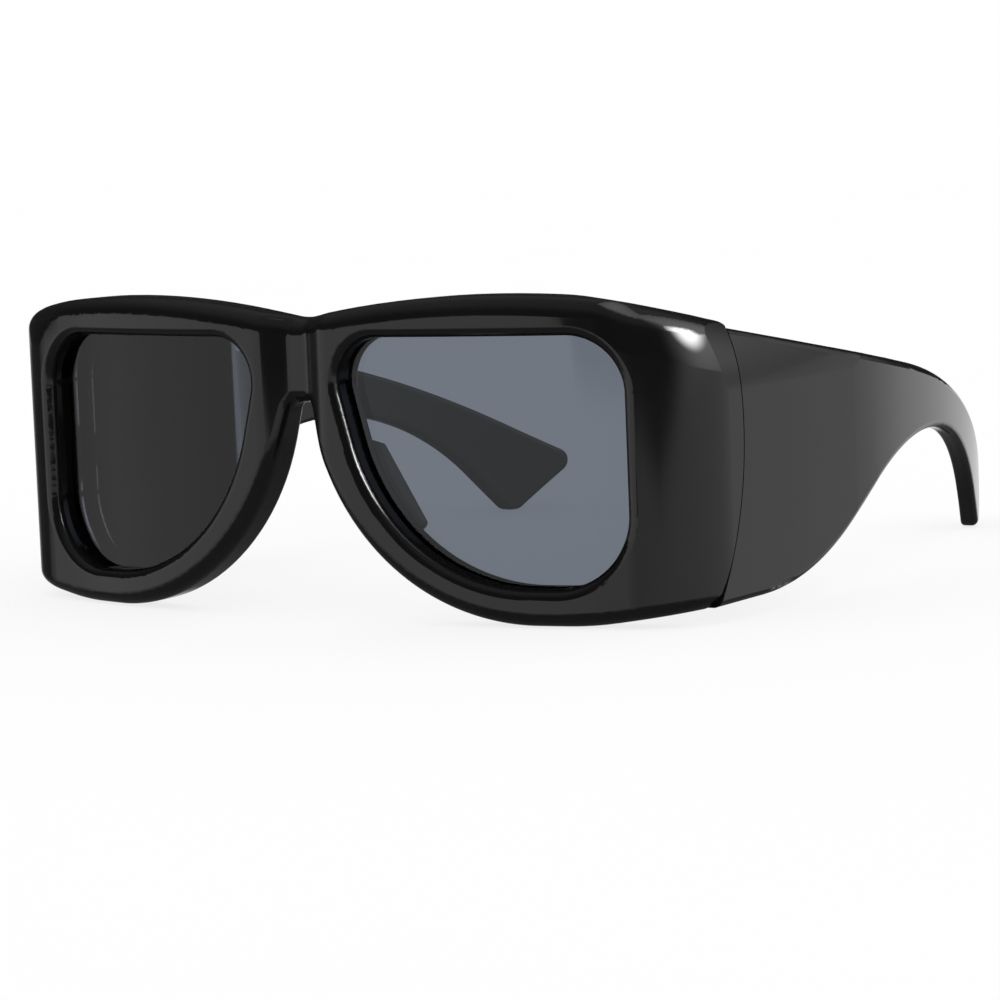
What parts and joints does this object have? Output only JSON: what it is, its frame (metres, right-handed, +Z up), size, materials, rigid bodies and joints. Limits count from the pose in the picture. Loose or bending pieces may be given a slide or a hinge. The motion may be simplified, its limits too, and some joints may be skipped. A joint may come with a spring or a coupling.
{
  "type": "sunglasses",
  "caption": "Oversized wrap sunglasses: gloss black moulded front with a bridge valley, smoke lenses and wide curved temples that fold inwards on riveted hinges.",
  "frame": {"origin": "under the middle of the whole pair, on the surface that it stands on with the temples open", "axes": "+X to the wearer's left, +Y back towards the ears, +Z up"},
  "size_m": [0.151, 0.168, 0.0574],
  "materials": {
    "frame_plastic": "polished black injection-moulded plastic",
    "smoke_lens": "grey smoke tint, polished on both sides",
    "hinge_steel": "plain steel"
  },
  "bodies": {
    "front": {"front_frame": "frame_plastic", "lens_left": "smoke_lens", "lens_right": "smoke_lens", "front_hinge_leaf_left": "hinge_steel", "front_hinge_leaf_right": "hinge_steel", "hinge_screw_left": "hinge_steel", "hinge_screw_right": "hinge_steel", "front_rivets_left": "hinge_steel", "front_rivets_right": "hinge_steel"},
    "temple_left": {"temple_left": "frame_plastic", "temple_hinge_leaf_left": "hinge_steel", "temple_rivets_left": "hinge_steel"},
    "temple_right": {"temple_right": "frame_plastic", "temple_hinge_leaf_right": "hinge_steel", "temple_rivets_right": "hinge_steel"}
  },
  "joints": [
    {"name": "left_fold", "type": "hinge", "parent": "front", "child": "temple_left", "pos_m": [0.0694, -0.05518, 0.033], "axis": [0, 0, 1], "range_deg": [0, 84]},
    {"name": "right_fold", "type": "hinge", "parent": "front", "child": "temple_right", "pos_m": [-0.0694, -0.05518, 0.033], "axis": [0, 0, -1], "range_deg": [0, 74]}
  ]
}
